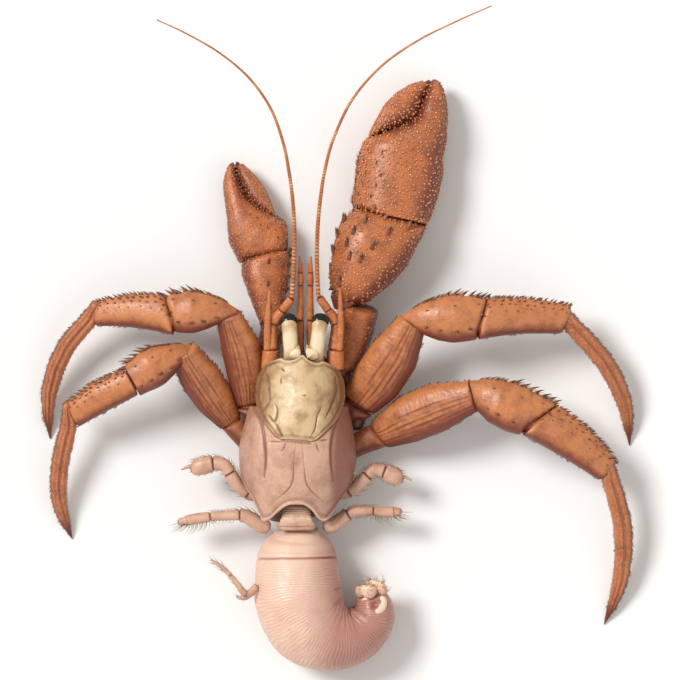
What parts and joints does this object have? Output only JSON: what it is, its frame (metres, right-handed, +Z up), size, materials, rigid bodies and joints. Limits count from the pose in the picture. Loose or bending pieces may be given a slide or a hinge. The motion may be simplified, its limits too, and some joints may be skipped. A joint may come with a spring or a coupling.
{
  "type": "common hermit crab out of its shell",
  "caption": "Hermit crab out of its shell, lying flat with unequal claws forward, jointed walking legs spread, long feelers and a soft abdomen curled to one side.",
  "frame": {"origin": "on the resting plane, under the middle of the whole animal's bounding box", "axes": "+X the animal's right, the side of the big claw; +Y forward, from abdomen to claws; +Z up from the resting plane"},
  "size_m": [0.1338, 0.1492, 0.0345],
  "materials": {
    "shell_red": "granular calcified shell, orange to red-brown, satin",
    "shell_pale": "hard yellowish-grey shell with red-brown mottling, satin",
    "shell_soft": "thin flexible shell, pinkish grey, soft sheen",
    "flesh": "soft moist skin, pinkish cream, fine transverse wrinkles",
    "horn": "ridged horny claw, red-brown with dark tips",
    "cornea": "glossy faceted eye, near black",
    "feeler": "ringed flexible feeler, reddish amber"
  },
  "bodies": {
    "root": {"claw_hip_left": "shell_red", "claw_merus_left": "shell_red", "claw_carpus_left": "shell_red", "claw_palm_left": "shell_red", "claw_finger_left": "shell_red", "claw_hip_right": "shell_red", "claw_merus_right": "shell_red", "claw_carpus_right": "shell_red", "claw_palm_right": "shell_red", "claw_finger_right": "shell_red", "leg2_left_hip": "shell_red", "leg2_left_merus": "shell_red", "leg2_left_carpus": "shell_red", "leg2_left_propodus": "shell_red", "leg2_right_hip": "shell_red", "leg2_right_merus": "shell_red", "leg2_right_carpus": "shell_red", "leg2_right_propodus": "shell_red", "leg3_left_hip": "shell_red", "leg3_left_merus": "shell_red", "leg3_left_carpus": "shell_red", "leg3_left_propodus": "shell_red", "leg3_right_hip": "shell_red", "leg3_right_merus": "shell_red", "leg3_right_carpus": "shell_red", "leg3_right_propodus": "shell_red", "antenna_base_left": "shell_red", "antenna_base_right": "shell_red", "maxilliped_left": "shell_red", "maxilliped_right": "shell_red", "carapace_shield": "shell_pale", "eyestalk_left": "shell_pale", "eyestalk_right": "shell_pale", "telson": "shell_pale", "carapace_rear": "shell_soft", "thorax": "shell_soft", "leg4_left": "shell_soft", "leg4_right": "shell_soft", "leg5_left": "shell_soft", "leg5_right": "shell_soft", "abdomen_somite1": "shell_soft", "pleopod": "shell_soft", "abdomen_front": "flesh", "abdomen_middle": "flesh", "abdomen_rear": "flesh", "leg2_left_dactyl": "horn", "leg2_right_dactyl": "horn", "leg3_left_dactyl": "horn", "leg3_right_dactyl": "horn", "uropod_left": "horn", "uropod_right": "horn", "eye_left": "cornea", "eye_right": "cornea", "antennule_left": "feeler", "antennule_right": "feeler", "antenna_near_left": "feeler", "antenna_near_right": "feeler", "antenna_far_left": "feeler", "antenna_far_right": "feeler"}
  },
  "joints": []
}
